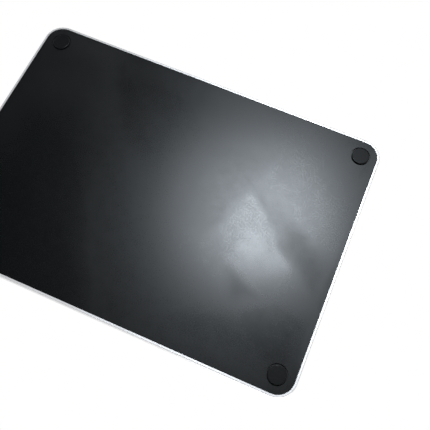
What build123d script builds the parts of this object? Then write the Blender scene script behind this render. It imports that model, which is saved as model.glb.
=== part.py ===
from build123d import *
from math import atan2, cos, sin, tan
import os

# A slim wedge-shaped trackpad, in millimetres, standing on its feet with its glass up.
# The origin is under the middle of the body, on the plane that the feet stand on.
# +X is the user's right, +Y the thick rear edge, +Z up.

# Whole body
body_width = 160.0
body_depth = 114.9
front_height = 4.9
rear_height = 10.9
body_corner = 8.0
rim = 1.0
lip = 0.7
side_wall = 2.0
floor_thickness = 0.7
under_round = 0.35
top_round = 0.25
overrun = 1.0

# Cover plate and feet
cover_thickness = 1.0
cover_gap = 0.12
cover_glue = 0.1
cover_edge_round = 0.12
glue_margin = 1.5
foot_diameter = 7.5
foot_recess_diameter = 8.4
foot_inset = 8.2
foot_stand = 0.5
foot_recess_depth = 0.5
foot_glue = 0.1
foot_round = 0.35

# Touch pad: layers from the glass down
glass_thickness = 0.8
glass_gap = 0.25
glass_round = 0.2
pad_glue = 0.1
pad_glue_inset = 1.2
sensor_thickness = 0.4
sensor_inset = 0.5
carrier_thickness = 0.5
carrier_inset = 0.8
press_travel = 0.15
stop_gap = 0.15
access_gap = 0.4

# Screws
screw_radius = 0.7
screw_head_radius = 1.3
screw_head_height = 0.45
screw_socket_radius = 0.55
screw_socket_depth = 0.25
screw_gap = 0.02

# Flexures, one near each corner, in the plane of the pad
flexure_inset_x = 15.0
flexure_inset_y = 11.5
flexure_length = 20.0
flexure_width = 9.0
flexure_waist = 4.6
flexure_root_length = 7.0
flexure_tip_length = 7.5
flexure_thickness = 0.35
flexure_fillet = 0.9
flexure_screw_pitch = 5.0
flexure_screw_length = 1.3
isolator_thickness = 0.45
isolator_margin = 0.8
gauge_length = 3.6
gauge_width = 2.8
gauge_thickness = 0.08

# Haptic drive: two magnets on the floor with the pad's armature between them
drive_place_share = -0.035
drive_depth = 20.0
drive_half_width = 18.0
drive_spine = 3.5
drive_height = 1.9
drive_leg_height = 1.0
drive_centre_leg = 12.0
drive_outer_leg = 3.0
air_gap = 0.4
coil_gap = 0.05
coil_window_gap = 0.25
coil_length = 9.0
drive_bracket_thickness = 0.4
drive_bracket_ear = 4.0
drive_bracket_margin = 1.0
drive_screw_inset = 2.2
drive_screw_length = 0.95
armature_blade = 2.4
armature_flange = 9.0
armature_flange_thickness = 0.5
armature_depth = 16.0
armature_floor_gap = 0.3
armature_rivet_share = 0.36
rivet_radius = 0.8
rivet_length = 2.0

# Battery, as large as the boards and the drive leave room for
battery_boss_gap = 6.0
battery_board_gap = 5.0
battery_port_gap = 2.15
battery_drive_gap = 4.0
battery_thickness = 3.6
battery_round = 1.2
battery_glue = 0.15
battery_glue_width = 10.0
battery_glue_margin = 4.0
cell_board_width = 4.0
cell_board_thickness = 0.8
cell_board_share = 0.6
lead_width = 5.0

# Boards that lie on bosses of the floor
board_thickness = 0.8
board_boss_radius = 1.9
board_boss_height = 0.8
main_board_boss_gap = 6.0
main_board_port_gap = 4.5
main_board_drive_gap = 8.0
main_board_antenna_gap = 2.55
main_board_corner = 1.5
board_screw_inset = 2.6
main_board_screw_inset = 7.0
board_screw_length = 1.9
shield_height = 1.5
shield_sheet = 0.2
chip_height = 0.8
connector_height = 0.7
ribbon_thickness = 0.12
ribbon_bend = 0.5
ribbon_landing = 3.0
ribbon_margin = 0.5
rear_ribbon_width = 3.5

# Touch controller chips, which hang through a window in the carrier over the main board
window_shares = (0.035, -0.215, 0.755, 0.34)
touch_chip_height = 0.8
touch_ribbon_share = 0.265
touch_ribbon_bulge = 9.0
touch_ribbon_bend = 1.1

# Charging socket in the middle of the rear wall
port_width = 8.94
port_height = 3.16
port_shell_sheet = 0.3
port_length = 7.3
port_centre_height = 5.2
port_hole_gap = 0.12
port_face_inset = 0.1
port_board_width = 25.0
port_board_depth = 10.0
port_board_gap = 0.3
port_back_thickness = 1.2
tongue_width = 6.69
tongue_thickness = 0.7
tongue_recess = 1.2
contact_width = 0.25
contact_pitch = 0.5
contact_length = 3.4
contact_thickness = 0.04
contact_inset = 0.5
contacts_per_side = 12
saddle_sheet = 0.4
saddle_ear = 4.0
saddle_length = 4.0
saddle_inset = 2.2
saddle_screw_length = 2.0

# Power switch in the rear wall
switch_place_share = 0.2375
knob_length = 5.0
knob_height = 2.4
knob_corner = 0.6
knob_travel = 3.0
knob_gap = 0.15
knob_face_inset = 0.05
knob_ridge = 0.25
knob_ridge_pitch = 0.7
knob_ridge_depth = 0.12
recess_depth = 0.9
stem_length = 1.4
stem_height = 0.9
indicator_thickness = 0.1
retainer_length = 9.0
retainer_height = 2.6
retainer_thickness = 0.5
retainer_gap = 0.1
fork_reach = 1.2
fork_tine = 1.0
nub_length = 1.3
nub_height = 0.8
nub_overlap = 0.9
nub_engage = 1.0
switch_body_length = 9.0
switch_body_depth = 3.4
switch_body_height = 1.8
switch_gap = 0.6
switch_board_width = 17.0
switch_board_depth = 7.6

# Antenna beside the rear wall
antenna_inset = 2.0
antenna_length = 22.0
antenna_depth = 3.6
antenna_height = 4.0
antenna_foil_thickness = 0.1
antenna_foil_margin = 0.5
antenna_wall_gap = 0.3

# Ribs on the shallow front of the floor
rib_height = 0.5
rib_thickness = 1.0
rib_pitch_share = 0.15
rib_count = 5
rib_drive_gap = 6.0
rib_wall_overlap = 0.5

# Levels and the plane of the glass
mid_height = (front_height + rear_height) / 2
slope = atan2(rear_height - front_height, body_depth)
glass_plane = Plane(origin=(0, 0, mid_height), x_dir=(1, 0, 0), z_dir=(0, -sin(slope), cos(slope)))
reach = 2 * rear_height
span = 2 * body_width

cover_top = foot_stand + cover_thickness
recess_top = cover_top + cover_glue
floor_top = recess_top + floor_thickness
floor_middle = recess_top + floor_thickness / 2
inner_rear = body_depth / 2 - side_wall

glass_inset = lip + glass_gap
sensor_top = glass_thickness + pad_glue
sensor_bottom = sensor_top + sensor_thickness
carrier_top = sensor_bottom + pad_glue
carrier_bottom = carrier_top + carrier_thickness
flexure_top = carrier_bottom + isolator_thickness
flexure_bottom = flexure_top + flexure_thickness
ledge_depth = carrier_bottom + press_travel + stop_gap

# Places inside, worked out from the walls, the flexures' bosses and each other
flexure_boss_inner = body_width / 2 - flexure_inset_x + flexure_length / 2 - flexure_root_length
drive_y = drive_place_share * body_depth
drive_front = drive_y - drive_depth / 2
drive_rear = drive_y + drive_depth / 2
port_board_rear = inner_rear - port_board_gap
port_board_front = port_board_rear - port_board_depth
switch_x = switch_place_share * body_width
antenna_y = inner_rear - antenna_wall_gap - antenna_depth / 2

main_board_left = main_board_boss_gap - flexure_boss_inner
main_board_right = -port_board_width / 2 - main_board_port_gap
main_board_front = drive_rear + main_board_drive_gap
main_board_rear = antenna_y - antenna_depth / 2 - main_board_antenna_gap
main_board_width = main_board_right - main_board_left
main_board_depth = main_board_rear - main_board_front
main_board_middle_x = (main_board_left + main_board_right) / 2
main_board_middle_y = (main_board_front + main_board_rear) / 2
antenna_x = main_board_left + antenna_inset + antenna_length / 2

battery_left = main_board_right + battery_board_gap + cell_board_width
battery_right = flexure_boss_inner - battery_boss_gap
battery_front = drive_rear + battery_drive_gap
battery_rear = port_board_front - battery_port_gap
battery_width = battery_right - battery_left
battery_depth = battery_rear - battery_front
battery_middle_y = (battery_front + battery_rear) / 2

window_x = main_board_middle_x + window_shares[0] * main_board_width
window_y = main_board_middle_y + window_shares[1] * main_board_depth
window_width = window_shares[2] * main_board_width
window_depth = window_shares[3] * main_board_depth

corners = {
    "front_left": (-1, -1),
    "front_right": (1, -1),
    "rear_left": (-1, 1),
    "rear_right": (1, 1),
}


def outline(inset):
    """The body's plan, drawn in by inset on every side."""
    return RectangleRounded(body_width - 2 * inset, body_depth - 2 * inset, body_corner - inset)


def prism(sketch, low, high):
    """A plan sketch raised from one level to another."""
    return extrude(Pos(0, 0, low) * sketch, high - low)


def slab(top, bottom):
    """A wide slab parallel to the glass, between two depths below its face."""
    return glass_plane.location * Pos(0, 0, -(top + bottom) / 2) * Box(span, span, bottom - top)


def sloped(sketch, top, bottom):
    """A plan sketch with upright walls, between two depths below the glass face."""
    return prism(sketch, -reach, reach) & slab(top, bottom)


def pad_level(y, depth):
    """The height of the plane at a depth below the glass face, over a place along the body."""
    return mid_height + y * tan(slope) - depth / cos(slope)


def along_y(sketch, near, far):
    """A sketch drawn with x across and y up, run along Y from near to far."""
    back = Plane(origin=(0, far, 0), x_dir=(1, 0, 0), z_dir=(0, -1, 0))
    return back.location * extrude(sketch, far - near)


def block(x_low, x_high, y_low, y_high, z_low, z_high):
    """A plain block between its faces."""
    centre = Pos((x_low + x_high) / 2, (y_low + y_high) / 2, (z_low + z_high) / 2)
    return centre * Box(x_high - x_low, y_high - y_low, z_high - z_low)


def plate(x, y, width, depth, low, high):
    """An upright block about a place in plan, between two levels."""
    return prism(Pos(x, y) * Rectangle(width, depth), low, high)


def disc(x, y, radius, low, high):
    """An upright cylinder between two levels."""
    return prism(Pos(x, y) * Circle(radius), low, high)


def screw(length):
    """A low screw standing on z 0, its shank down to -length."""
    socket = RegularPolygon(screw_socket_radius, 6)
    head = extrude(Circle(screw_head_radius), screw_head_height)
    head -= Pos(0, 0, screw_head_height) * extrude(socket, -screw_socket_depth)
    return head + extrude(Circle(screw_radius), -length)


def screw_hole(length):
    """The threaded hole that a screw of this length fits, down from z 0."""
    return extrude(Circle(screw_radius + screw_gap), -length - screw_gap)


def four_places(x, y, across, along):
    """Four places about a middle, like the corners of a rectangle."""
    return [(x + sign_x * across, y + sign_y * along) for sign_x in (-1, 1) for sign_y in (-1, 1)]


def screws_at(places, seat, length):
    """A row of like screws whose heads stand on one level."""
    return group([Pos(x, y, seat) * screw(length) for x, y in places])


def drilled(shape, places):
    """A flat piece with its screw holes right through."""
    for x, y in places:
        shape -= disc(x, y, screw_radius + screw_gap, -reach, reach)
    return shape


def ribbon(points, bend, thickness):
    """A flat flexible ribbon's side view along its bent path."""
    return trace(FilletPolyline(*points, radius=bend), thickness)


def save(name, shape):
    """Writes one piece, or one group of like pieces, under its node's name."""
    solids = list(shape.solids())
    export_step(solids[0] if len(solids) == 1 else Compound(children=solids), f"parts/{name}.step")


def group(shapes):
    """Separate like pieces as one node."""
    return Compound(children=[solid for shape in shapes for solid in shape.solids()])


# Cover plate and feet


def foot_place(side):
    sign_x, sign_y = corners[side]
    return sign_x * (body_width / 2 - foot_inset), sign_y * (body_depth / 2 - foot_inset)


def bottom_cover():
    cover = prism(outline(rim + cover_gap), foot_stand, cover_top)
    cover = fillet(cover.faces().sort_by(Axis.Z)[0].edges(), cover_edge_round)
    for side in corners:
        x, y = foot_place(side)
        cover -= disc(x, y, foot_recess_diameter / 2, -overrun, foot_stand + foot_recess_depth)
    return cover


def cover_adhesive():
    return prism(outline(rim + cover_gap + glue_margin), cover_top, recess_top)


def foot(side):
    x, y = foot_place(side)
    pad = disc(x, y, foot_diameter / 2, 0, foot_stand + foot_recess_depth - foot_glue)
    return fillet(pad.faces().sort_by(Axis.Z)[0].edges(), foot_round)


def foot_adhesives():
    top = foot_stand + foot_recess_depth
    radius = foot_diameter / 2 - foot_round
    return group([disc(*foot_place(side), radius, top - foot_glue, top) for side in corners])


# Flexures and what is on them, in the plane of the pad


def corner_frame(side):
    """A frame on the glass plane over one flexure, its x pointing to the body's nearer side."""
    sign_x, sign_y = corners[side]
    u = sign_x * (body_width / 2 - flexure_inset_x)
    v = sign_y * (body_depth / 2 - flexure_inset_y)
    turn = Rot(0, 0, 0 if sign_x > 0 else 180)
    return glass_plane.location * Pos(u, v, 0) * turn


flexure_root_x = (flexure_length - flexure_root_length) / 2
flexure_tip_x = -(flexure_length - flexure_tip_length) / 2
flexure_screw_places = [(flexure_root_x, sign * flexure_screw_pitch / 2) for sign in (-1, 1)]
flexure_screw_seats = [Pos(x, y, -flexure_top) for x, y in flexure_screw_places]


def flexure(side):
    root = Pos(flexure_root_x, 0) * Rectangle(flexure_root_length, flexure_width)
    tip = Pos(flexure_tip_x, 0) * Rectangle(flexure_tip_length, flexure_width)
    plan = root + tip + Rectangle(flexure_length, flexure_waist)
    plan = fillet(plan.vertices(), flexure_fillet)
    for x, y in flexure_screw_places:
        plan -= Pos(x, y) * Circle(screw_radius + screw_gap)
    return corner_frame(side) * Pos(0, 0, -flexure_bottom) * extrude(plan, flexure_thickness)


def at_flexure_screws(shape):
    """A copy of a shape at each screw of each flexure."""
    return [corner_frame(side) * seat * shape for side in corners for seat in flexure_screw_seats]


def flexure_screws():
    return group(at_flexure_screws(screw(flexure_screw_length)))


def strain_gauges():
    gauge = extrude(Rectangle(gauge_length, gauge_width), gauge_thickness)
    return group([corner_frame(side) * Pos(0, 0, -flexure_top) * gauge for side in corners])


def isolator_pads():
    plan = Rectangle(flexure_tip_length - 2 * isolator_margin, flexure_width - 2 * isolator_margin)
    pad = extrude(plan, isolator_thickness)
    seat = Pos(flexure_tip_x, 0, -flexure_top)
    return group([corner_frame(side) * seat * pad for side in corners])


def flexure_bosses():
    """Blocks under the roots of the flexures, down into the floor, with their screw holes."""
    keep = prism(outline(side_wall / 2), floor_middle, rear_height)
    bosses = None
    for side in corners:
        plan = Pos(flexure_root_x, 0) * Rectangle(flexure_root_length, flexure_width)
        boss = corner_frame(side) * Pos(0, 0, -flexure_bottom) * extrude(plan, -reach)
        boss = boss & keep
        bosses = boss if bosses is None else bosses + boss
    return bosses


# Touch pad


def touch_glass():
    glass = sloped(outline(glass_inset), 0, glass_thickness)
    return fillet(glass.faces().sort_by(Axis.Z)[-1].edges(), glass_round)


# The window through the carrier that the touch controller's chips hang in
window = Pos(window_x, window_y) * Rectangle(window_width, window_depth)


def pad_layer(inset, top, bottom):
    return sloped(outline(glass_inset + inset), top, bottom)


def sensor_adhesive():
    return pad_layer(pad_glue_inset, sensor_bottom, carrier_top) - sloped(window, 0, reach)


def pad_carrier():
    carrier = pad_layer(carrier_inset, carrier_top, carrier_bottom) - sloped(window, 0, reach)
    for hole in at_flexure_screws(extrude(Circle(screw_head_radius + access_gap), reach)):
        carrier -= hole
    for rivet in rivets():
        carrier -= rivet
    return carrier


touch_chip_shares = [(-0.33, 0, 0.2, 0.6), (-0.06, 0.12, 0.14, 0.4), (-0.06, -0.3, 0.1, 0.2)]
touch_connector_share = (0.25, 0, 0.32, 0.4)


def hung_package(share, height):
    """A package under the sensor board, its place and size as shares of the window's."""
    x_share, y_share, width_share, depth_share = share
    plan = Rectangle(width_share * window_width, depth_share * window_depth)
    plan = Pos(window_x + x_share * window_width, window_y + y_share * window_depth) * plan
    return sloped(plan, sensor_bottom, sensor_bottom + height)


def touch_chips():
    return group([hung_package(share, touch_chip_height) for share in touch_chip_shares])


# Haptic drive

rivet_spread = armature_depth * armature_rivet_share
rivet_places = [(0, drive_y / cos(slope) + sign * rivet_spread) for sign in (-1, 1)]
drive_low = floor_top + drive_bracket_thickness
drive_leg_low = drive_low + (drive_height - drive_leg_height) / 2
drive_tip = armature_blade / 2 + air_gap
coil_middle = (drive_half_width - drive_spine + drive_tip) / 2
bracket_half_width = drive_half_width + drive_bracket_ear
drive_screw_across = bracket_half_width - drive_screw_inset
drive_screw_along = drive_depth / 2 - drive_screw_inset
drive_screw_places = four_places(0, drive_y, drive_screw_across, drive_screw_along)


def haptic_core(side):
    """An E of stacked steel whose three legs end at the air gap."""
    high = drive_low + drive_height
    length = drive_half_width - drive_tip
    x = (drive_half_width + drive_tip) / 2
    outer = (drive_depth - drive_outer_leg) / 2
    core = plate(drive_half_width - drive_spine / 2, drive_y, drive_spine, drive_depth, drive_low, high)
    for y in (drive_y - outer, drive_y + outer):
        core += plate(x, y, length, drive_outer_leg, drive_low, high)
    core += plate(x, drive_y, length, drive_centre_leg, drive_leg_low, drive_leg_low + drive_leg_height)
    return core if side > 0 else core.mirror(Plane.YZ)


def haptic_coils():
    """A flat winding around the middle leg of each magnet."""
    depth = drive_depth - 2 * (drive_outer_leg + coil_window_gap)
    coil = plate(coil_middle, drive_y, coil_length, depth, drive_low, drive_low + drive_height)
    coil = fillet(coil.edges().filter_by(Axis.X), (drive_height - drive_leg_height) / 2 - coil_gap)
    leg_low = drive_leg_low - coil_gap
    leg_high = drive_leg_low + drive_leg_height + coil_gap
    coil -= plate(coil_middle, drive_y, drive_depth, drive_centre_leg + 2 * coil_gap, leg_low, leg_high)
    return group([coil, coil.mirror(Plane.YZ)])


def haptic_bracket():
    depth = drive_depth + 2 * drive_bracket_margin
    bracket = plate(0, drive_y, 2 * bracket_half_width, depth, floor_top, drive_low)
    bracket = fillet(bracket.edges().filter_by(Axis.Z), drive_bracket_margin)
    return drilled(bracket, drive_screw_places)


def armature():
    """A flange on the carrier with a blade that hangs between the magnets."""
    flange_bottom = carrier_bottom + armature_flange_thickness
    flange_plan = Pos(0, drive_y) * Rectangle(armature_flange, armature_depth)
    flange = sloped(flange_plan, carrier_bottom, flange_bottom)
    blade_plan = Pos(0, drive_y) * Rectangle(armature_blade, armature_depth)
    blade_floor = drive_low + armature_floor_gap
    blade = sloped(blade_plan, carrier_bottom, reach) & prism(blade_plan, blade_floor, rear_height)
    hanger = flange + blade
    for rivet in rivets():
        hanger -= rivet
    return hanger


def rivets():
    """Flush in the carrier, down through the flange into the blade."""
    rivet = extrude(Circle(rivet_radius), -rivet_length)
    return [glass_plane.location * Pos(x, y, -carrier_top) * rivet for x, y in rivet_places]


# Battery

battery_low = floor_top + battery_glue
cell_board_left = battery_left - cell_board_width
cell_board_low = battery_low + (battery_thickness - cell_board_thickness) / 2
cell_board_top = cell_board_low + cell_board_thickness


def battery_cell():
    top = battery_low + battery_thickness
    cell = block(battery_left, battery_right, battery_front, battery_rear, battery_low, top)
    cell = fillet(cell.edges().filter_by(Axis.Z), battery_round)
    return fillet(cell.faces().sort_by(Axis.Z)[-1].edges(), battery_round / 2)


def battery_adhesive():
    depth = battery_depth - 2 * battery_glue_margin
    strips = []
    for x in (battery_left + battery_width / 4, battery_right - battery_width / 4):
        strips.append(plate(x, battery_middle_y, battery_glue_width, depth, floor_top, battery_low))
    return group(strips)


def battery_board():
    x = cell_board_left + cell_board_width / 2
    depth = battery_depth * cell_board_share
    return plate(x, battery_middle_y, cell_board_width, depth, cell_board_low, cell_board_top)


# Main board

main_board_low = floor_top + board_boss_height
main_board_top = main_board_low + board_thickness
main_board_screw_places = four_places(
    main_board_middle_x,
    main_board_middle_y,
    main_board_width / 2 - board_screw_inset,
    main_board_depth / 2 - main_board_screw_inset,
)
chip_shares = [
    (-0.26, -0.3, 0.16, 0.2),
    (-0.04, -0.36, 0.12, 0.12),
    (-0.4, 0.02, 0.08, 0.1),
    (-0.38, 0.2, 0.08, 0.08),
    (0.36, 0.16, 0.1, 0.12),
    (0.0, -0.14, 0.1, 0.1),
]
shield_shares = (-0.08, 0.16, 0.38, 0.37)


def on_main_board(share, height):
    """A package on the main board, its place and size as shares of the board's."""
    x_share, y_share, width_share, depth_share = share
    x = main_board_middle_x + x_share * main_board_width
    y = main_board_middle_y + y_share * main_board_depth
    width = width_share * main_board_width
    depth = depth_share * main_board_depth
    return plate(x, y, width, depth, main_board_top, main_board_top + height)


def main_board():
    plan = RectangleRounded(main_board_width, main_board_depth, main_board_corner)
    board = prism(Pos(main_board_middle_x, main_board_middle_y) * plan, main_board_low, main_board_top)
    return drilled(board, main_board_screw_places)


def board_chips():
    return group([on_main_board(share, chip_height) for share in chip_shares])


def shield_can():
    """A pressed lid over the radio, with walls standing on the board."""
    lid = on_main_board(shield_shares, shield_height)
    lid = fillet(lid.edges().filter_by(Axis.Z), main_board_corner)
    return offset(lid, -shield_sheet, openings=lid.faces().sort_by(Axis.Z)[0])


# Charging socket

port_face = body_depth / 2 - port_face_inset
port_back = port_face - port_length
port_low = port_centre_height - port_height / 2
port_board_top = port_low
port_board_low = port_board_top - board_thickness
saddle_y = port_board_rear - saddle_inset
saddle_seat = port_board_top + saddle_sheet
port_screw_x = port_width / 2 + saddle_sheet + saddle_ear / 2
port_screw_places = [(-port_screw_x, saddle_y), (port_screw_x, saddle_y)]


def port_plan(grow):
    """The socket's round-ended shape, drawn x across and z up, and grown on every side."""
    return Pos(0, port_centre_height) * SlotOverall(port_width + 2 * grow, port_height + 2 * grow)


def charge_port_shell():
    tube = along_y(port_plan(0), port_back, port_face)
    return tube - along_y(port_plan(-port_shell_sheet), port_back - overrun, port_face + overrun)


def charge_port_tongue():
    """The insulator that closes the shell's back, with the tongue that the plug slides over."""
    back = along_y(port_plan(-port_shell_sheet), port_back, port_back + port_back_thickness)
    tongue = centred(0, tongue_width, port_back, port_face - tongue_recess, tongue_thickness)
    nose = tongue.edges().filter_by(Axis.X).group_by(Axis.Y)[-1]
    return back + chamfer(nose, tongue_thickness / 4)


def charge_port_contacts():
    """Two rows of flat contacts, above and below the tongue."""
    middle = port_face - tongue_recess - contact_inset - contact_length / 2
    above = port_centre_height + tongue_thickness / 2
    below = port_centre_height - tongue_thickness / 2 - contact_thickness
    made = []
    for step in range(contacts_per_side):
        x = (step - (contacts_per_side - 1) / 2) * contact_pitch
        for low in (above, below):
            made.append(plate(x, middle, contact_width, contact_length, low, low + contact_thickness))
    return group(made)


def charge_port_board():
    plan = RectangleRounded(port_board_width, port_board_depth, main_board_corner)
    middle = (port_board_front + port_board_rear) / 2
    return drilled(prism(Pos(0, middle) * plan, port_board_low, port_board_top), port_screw_places)


def charge_port_bracket():
    """A steel saddle over the socket, its ears screwed down through the board."""
    near = saddle_y - saddle_length / 2
    far = saddle_y + saddle_length / 2
    outer_width = port_width + 2 * saddle_sheet
    ears_width = outer_width + 2 * saddle_ear
    saddle = along_y(port_plan(saddle_sheet), near, far)
    saddle += plate(0, saddle_y, outer_width, saddle_length, port_board_top, port_centre_height)
    saddle += plate(0, saddle_y, ears_width, saddle_length, port_board_top, saddle_seat)
    saddle -= plate(0, saddle_y, span, span, -reach, port_board_top)
    saddle -= plate(0, saddle_y, port_width, span, -reach, port_centre_height)
    saddle -= along_y(port_plan(0), near - overrun, far + overrun)
    return drilled(saddle, port_screw_places)


# Power switch, at rest in its off position

rear_face = body_depth / 2
recess_floor = rear_face - recess_depth
recess_length = knob_length + knob_travel + 2 * knob_gap
recess_height = knob_height + 2 * knob_gap
knob_x = switch_x - knob_travel / 2
knob_back = recess_floor + indicator_thickness + retainer_gap
knob_face = rear_face - knob_face_inset
slot_length = knob_travel + stem_length + 2 * knob_gap
slot_height = stem_height + 2 * knob_gap
retainer_rear = inner_rear - retainer_gap
retainer_front = retainer_rear - retainer_thickness
nub_rear = retainer_front - retainer_gap
switch_body_rear = nub_rear - nub_engage - switch_gap
switch_body_front = switch_body_rear - switch_body_depth
switch_board_top = port_centre_height - switch_body_height / 2
switch_board_low = switch_board_top - board_thickness
switch_board_rear = switch_body_rear
switch_board_front = switch_board_rear - switch_board_depth
switch_screw_x = switch_board_width / 2 - board_screw_inset
switch_screw_y = switch_body_front + switch_body_depth / 2
switch_screw_places = [(switch_x + sign * switch_screw_x, switch_screw_y) for sign in (-1, 1)]


def centred(x, length, y_low, y_high, height):
    """A block at the switch's height, centred on it up and down."""
    low = port_centre_height - height / 2
    return block(x - length / 2, x + length / 2, y_low, y_high, low, low + height)


def recess_plan(inset):
    """The recess that the knob slides in, drawn in by inset."""
    corner = knob_corner + knob_gap - inset
    plan = RectangleRounded(recess_length - 2 * inset, recess_height - 2 * inset, corner)
    return Pos(switch_x, port_centre_height) * plan


def slider_knob():
    """The knob in its recess with its stem through the wall."""
    plan = Pos(knob_x, port_centre_height) * RectangleRounded(knob_length, knob_height, knob_corner)
    knob = along_y(plan, knob_back, knob_face)
    groove_height = knob_height - 2 * knob_ridge
    for step in (-1, 0, 1):
        x = knob_x + step * knob_ridge_pitch
        knob -= centred(x, knob_ridge, knob_face - knob_ridge_depth, knob_face + overrun, groove_height)
    return knob + centred(knob_x, stem_length, retainer_rear, knob_back, stem_height)


def slider_retainer():
    """The plate that keeps the knob in, with a fork that takes the switch's nub along."""
    retainer = centred(knob_x, retainer_length, retainer_front, retainer_rear, retainer_height)
    fork_front = retainer_front - fork_reach
    inner = nub_length / 2 + retainer_gap
    for sign in (-1, 1):
        x = knob_x + sign * (inner + fork_tine / 2)
        retainer += centred(x, fork_tine, fork_front, retainer_front, stem_height)
    return retainer


def switch_nub():
    return centred(knob_x, nub_length, switch_body_rear - nub_overlap, nub_rear, nub_height)


def switch_body():
    body = centred(switch_x, switch_body_length, switch_body_front, switch_body_rear, switch_body_height)
    slot = nub_length + knob_travel + 2 * retainer_gap
    pocket = nub_overlap + retainer_gap
    height = nub_height + 2 * retainer_gap
    return body - centred(switch_x, slot, switch_body_rear - pocket, switch_body_rear + overrun, height)


def switch_board():
    y = (switch_board_front + switch_board_rear) / 2
    plan = Pos(switch_x, y) * Rectangle(switch_board_width, switch_board_depth)
    return drilled(prism(plan, switch_board_low, switch_board_top), switch_screw_places)


def switch_indicator():
    """The green mark on the recess floor that the knob uncovers when it is switched on."""
    mark = along_y(recess_plan(knob_gap), recess_floor, recess_floor + indicator_thickness)
    covered_from = knob_x + knob_travel - knob_length / 2
    mark -= block(covered_from, span, recess_floor - overrun, rear_face, 0, reach)
    return mark - centred(switch_x, slot_length, recess_floor - overrun, rear_face, slot_height)


# Ribbons


def ribbon_along_x(points, width, y):
    """A ribbon whose side view is drawn x across and z up, at a place along Y."""
    return along_y(ribbon(points, ribbon_bend, ribbon_thickness), y - width / 2, y + width / 2)


def step_ribbon(x_from, z_from, x_to, z_to, width, y):
    """A ribbon that lies on one face, steps across to another level and lies on that."""
    half = ribbon_thickness / 2
    sign = 1 if x_to > x_from else -1
    start = x_from - sign * ribbon_landing
    end = x_to + sign * ribbon_landing
    third = (x_to - x_from) / 3
    points = [
        (start, z_from + half),
        (x_from + third, z_from + half),
        (x_to - third, z_to + half),
        (end, z_to + half),
    ]
    return ribbon_along_x(points, width, y)


def battery_lead():
    y = main_board_middle_y
    return step_ribbon(cell_board_left, cell_board_top, main_board_right, main_board_top, lead_width, y)


def port_flex():
    y = (port_board_front + main_board_rear) / 2
    x_from = -port_board_width / 2
    return step_ribbon(x_from, port_board_top, main_board_right, main_board_top, rear_ribbon_width, y)


def switch_flex():
    y = switch_board_front + rear_ribbon_width / 2 + ribbon_margin
    x_from = switch_x - switch_board_width / 2
    x_to = port_board_width / 2
    return step_ribbon(x_from, switch_board_top, x_to, port_board_top, rear_ribbon_width, y)


def touch_flex():
    """From the pad's connector in a loop to the main board's connector below it."""
    width = touch_ribbon_share * window_width
    x_share, y_share, width_share, depth_share = touch_connector_share
    x = window_x + x_share * window_width
    y = window_y + y_share * window_depth
    depth = sensor_bottom + touch_chip_height
    half = ribbon_thickness / 2
    back = depth_share * window_depth / 2
    low = main_board_top + connector_height + half
    points = [
        (y - back, pad_level(y - back, depth) - half / cos(slope)),
        (y + touch_ribbon_bulge, pad_level(y + touch_ribbon_bulge, depth) - half / cos(slope)),
        (y + touch_ribbon_bulge, low),
        (y - back, low),
    ]
    side = Plane(origin=(x - width / 2, 0, 0), x_dir=(0, 1, 0), z_dir=(1, 0, 0))
    strip = ribbon(points, touch_ribbon_bend, ribbon_thickness)
    return side.location * extrude(strip, width)


def board_connector():
    """The main board's end of the touch ribbon, under the pad's end."""
    x_share, y_share, width_share, depth_share = touch_connector_share
    x = window_x + x_share * window_width
    y = window_y + y_share * window_depth
    width = width_share * window_width
    depth = depth_share * window_depth
    return plate(x, y, width, depth, main_board_top, main_board_top + connector_height)


def touch_connector():
    return hung_package(touch_connector_share, touch_chip_height)


# Antenna

antenna_top = floor_top + antenna_height


def antenna_carrier():
    return plate(antenna_x, antenna_y, antenna_length, antenna_depth, floor_top, antenna_top)


def antenna_foil():
    length = antenna_length - 2 * antenna_foil_margin
    depth = antenna_depth - 2 * antenna_foil_margin
    return plate(antenna_x, antenna_y, length, depth, antenna_top, antenna_top + antenna_foil_thickness)


# Body


def floor_bosses():
    """Round bosses under the three boards, up to each board's underside."""
    made = []
    for places, top in (
        (main_board_screw_places, main_board_low),
        (port_screw_places, port_board_low),
        (switch_screw_places, switch_board_low),
    ):
        for x, y in places:
            made.append(disc(x, y, board_boss_radius, floor_middle, top))
    return made


def floor_holes():
    """Screw holes down from the boards and the haptic bracket."""
    made = []
    for places, top, length in (
        (main_board_screw_places, main_board_top, board_screw_length),
        (port_screw_places, saddle_seat, saddle_screw_length),
        (switch_screw_places, switch_board_top, board_screw_length),
        (drive_screw_places, drive_low, drive_screw_length),
    ):
        for x, y in places:
            made.append(Pos(x, y, top) * screw_hole(length))
    return made


def floor_ribs():
    """Low ribs that stiffen the shallow front half."""
    front = -body_depth / 2 + side_wall - rib_wall_overlap
    top = floor_top + rib_height
    rear = drive_front - rib_drive_gap
    middle = (front + rear) / 2
    pitch = rib_pitch_share * body_width
    made = [plate(0, middle, (rib_count - 1) * pitch, rib_thickness, floor_middle, top)]
    for step in range(rib_count):
        x = (step - (rib_count - 1) / 2) * pitch
        made.append(plate(x, middle, rib_thickness, rear - front, floor_middle, top))
    return made


def enclosure():
    body = prism(outline(0), foot_stand, reach) & slab(0, reach)
    body = fillet(body.faces().sort_by(Axis.Z)[0].edges(), under_round)
    body = fillet(body.faces().sort_by(Axis.Z)[-1].edges(), top_round)
    body -= prism(outline(rim), foot_stand - overrun, recess_top)
    body -= sloped(outline(lip), -overrun, ledge_depth)
    body -= prism(outline(side_wall), floor_top, reach)
    body += flexure_bosses()
    for solid in floor_bosses() + floor_ribs():
        body += solid
    for hole in floor_holes() + at_flexure_screws(screw_hole(flexure_screw_length)):
        body -= hole
    body -= along_y(port_plan(port_hole_gap), inner_rear - overrun, rear_face + overrun)
    body -= along_y(recess_plan(0), recess_floor, rear_face + overrun)
    body -= centred(switch_x, slot_length, inner_rear - overrun, rear_face + overrun, slot_height)
    return body


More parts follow.
